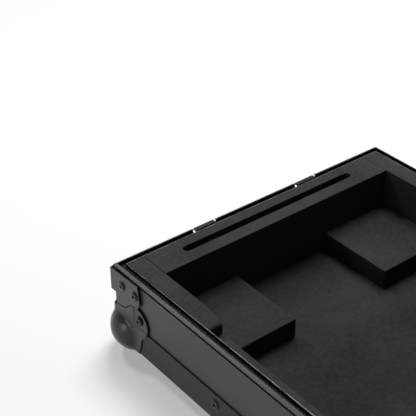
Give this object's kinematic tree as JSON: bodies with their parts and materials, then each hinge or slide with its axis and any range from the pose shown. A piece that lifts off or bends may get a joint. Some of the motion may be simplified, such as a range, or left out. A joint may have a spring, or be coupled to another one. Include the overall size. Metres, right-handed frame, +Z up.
{
  "type": "turntable flight case",
  "caption": "Open base tray of a small black flight case with ball corners, a lid-location rim, foam lining, raised support blocks and a slot for a record sleeve.",
  "frame": {"origin": "on the floor under the middle of the case", "axes": "+Z up, +Y towards the side with the record slot, +X towards the side with the handle"},
  "size_m": [0.345, 0.395, 0.0916],
  "materials": {
    "laminate": "black phenolic laminate on plywood, fine satin",
    "black_aluminium": "black anodised, satin",
    "black_steel": "black powder coat, satin",
    "foam": "dark grey closed-cell foam, matt",
    "rubber": "black rubber, matt",
    "spring_steel": "bright drawn wire"
  },
  "bodies": {
    "shell": {"front_panel": "laminate", "front_rim": "black_aluminium", "front_bottom_angle": "black_aluminium", "right_panel": "laminate", "right_rim": "black_aluminium", "right_bottom_angle": "black_aluminium", "back_panel": "laminate", "back_rim": "black_aluminium", "back_bottom_angle": "black_aluminium", "left_panel": "laminate", "left_rim": "black_aluminium", "left_bottom_angle": "black_aluminium", "bottom_panel": "laminate", "corner_angle_front_left": "black_aluminium", "rim_brace_front_left": "black_steel", "ball_corner_front_left": "black_steel", "rubber_foot_front_left": "rubber", "support_block_front_left": "foam", "corner_angle_front_right": "black_aluminium", "rim_brace_front_right": "black_steel", "ball_corner_front_right": "black_steel", "rubber_foot_front_right": "rubber", "support_block_front_right": "foam", "corner_angle_back_right": "black_aluminium", "rim_brace_back_right": "black_steel", "ball_corner_back_right": "black_steel", "rubber_foot_back_right": "rubber", "support_block_back_right": "foam", "corner_angle_back_left": "black_aluminium", "rim_brace_back_left": "black_steel", "ball_corner_back_left": "black_steel", "rubber_foot_back_left": "rubber", "support_block_back_left": "foam", "floor_foam": "foam", "left_foam": "foam", "right_foam": "foam", "front_foam": "foam", "slot_foam": "foam", "latch_front_left_dish": "black_steel", "latch_front_right_dish": "black_steel", "latch_back_left_dish": "black_steel", "latch_back_right_dish": "black_steel", "handle_dish": "black_steel", "handle_spring_front": "spring_steel", "handle_spring_back": "spring_steel"},
    "latch_front_left_claw_body": {"latch_front_left_claw": "black_steel"},
    "latch_front_left_spindle_body": {"latch_front_left_spindle": "black_steel"},
    "latch_front_left_wing_body": {"latch_front_left_wing": "black_steel"},
    "latch_front_right_claw_body": {"latch_front_right_claw": "black_steel"},
    "latch_front_right_spindle_body": {"latch_front_right_spindle": "black_steel"},
    "latch_front_right_wing_body": {"latch_front_right_wing": "black_steel"},
    "latch_back_left_claw_body": {"latch_back_left_claw": "black_steel"},
    "latch_back_left_spindle_body": {"latch_back_left_spindle": "black_steel"},
    "latch_back_left_wing_body": {"latch_back_left_wing": "black_steel"},
    "latch_back_right_claw_body": {"latch_back_right_claw": "black_steel"},
    "latch_back_right_spindle_body": {"latch_back_right_spindle": "black_steel"},
    "latch_back_right_wing_body": {"latch_back_right_wing": "black_steel"},
    "handle": {"handle_bail": "black_steel", "handle_grip": "rubber"}
  },
  "joints": [
    {"name": "latch_front_left_turn", "type": "hinge", "parent": "shell", "child": "latch_front_left_spindle_body", "pos_m": [-0.062, -0.187, 0.0641], "axis": [0, -1, 0], "range_deg": [0, 180]},
    {"name": "latch_front_left_claw_slide", "type": "slide", "parent": "shell", "child": "latch_front_left_claw_body", "axis": [0, 0, 1], "range_m": [0, 0.006]},
    {"name": "latch_front_left_wing_fold", "type": "hinge", "parent": "latch_front_left_spindle_body", "child": "latch_front_left_wing_body", "pos_m": [-0.062, -0.1855, 0.0641], "axis": [-1, 0, 0], "range_deg": [0, 90]},
    {"name": "latch_front_right_turn", "type": "hinge", "parent": "shell", "child": "latch_front_right_spindle_body", "pos_m": [0.062, -0.187, 0.0641], "axis": [0, -1, 0], "range_deg": [0, 180]},
    {"name": "latch_front_right_claw_slide", "type": "slide", "parent": "shell", "child": "latch_front_right_claw_body", "axis": [0, 0, 1], "range_m": [0, 0.006]},
    {"name": "latch_front_right_wing_fold", "type": "hinge", "parent": "latch_front_right_spindle_body", "child": "latch_front_right_wing_body", "pos_m": [0.062, -0.1855, 0.0641], "axis": [-1, 0, 0], "range_deg": [0, 90]},
    {"name": "latch_back_left_turn", "type": "hinge", "parent": "shell", "child": "latch_back_left_spindle_body", "pos_m": [-0.062, 0.187, 0.0641], "axis": [0, 1, 0], "range_deg": [0, 180]},
    {"name": "latch_back_left_claw_slide", "type": "slide", "parent": "shell", "child": "latch_back_left_claw_body", "axis": [0, 0, 1], "range_m": [0, 0.006]},
    {"name": "latch_back_left_wing_fold", "type": "hinge", "parent": "latch_back_left_spindle_body", "child": "latch_back_left_wing_body", "pos_m": [-0.062, 0.1855, 0.0641], "axis": [1, 0, 0], "range_deg": [0, 90]},
    {"name": "latch_back_right_turn", "type": "hinge", "parent": "shell", "child": "latch_back_right_spindle_body", "pos_m": [0.062, 0.187, 0.0641], "axis": [0, 1, 0], "range_deg": [0, 180]},
    {"name": "latch_back_right_claw_slide", "type": "slide", "parent": "shell", "child": "latch_back_right_claw_body", "axis": [0, 0, 1], "range_m": [0, 0.006]},
    {"name": "latch_back_right_wing_fold", "type": "hinge", "parent": "latch_back_right_spindle_body", "child": "latch_back_right_wing_body", "pos_m": [0.062, 0.1855, 0.0641], "axis": [1, 0, 0], "range_deg": [0, 90]},
    {"name": "handle_hinge", "type": "hinge", "parent": "shell", "child": "handle", "pos_m": [0.1555, 0, 0.07305], "axis": [0, -1, 0], "range_deg": [0, 90], "stiffness_Nm_per_rad": 0.03, "springref_deg": -20.05}
  ],
  "couplings": [
    {"joint": "latch_front_left_turn", "follows": "latch_front_left_claw_slide", "rad_per_m": 523.6},
    {"joint": "latch_front_right_turn", "follows": "latch_front_right_claw_slide", "rad_per_m": 523.6},
    {"joint": "latch_back_left_turn", "follows": "latch_back_left_claw_slide", "rad_per_m": 523.6},
    {"joint": "latch_back_right_turn", "follows": "latch_back_right_claw_slide", "rad_per_m": 523.6}
  ]
}
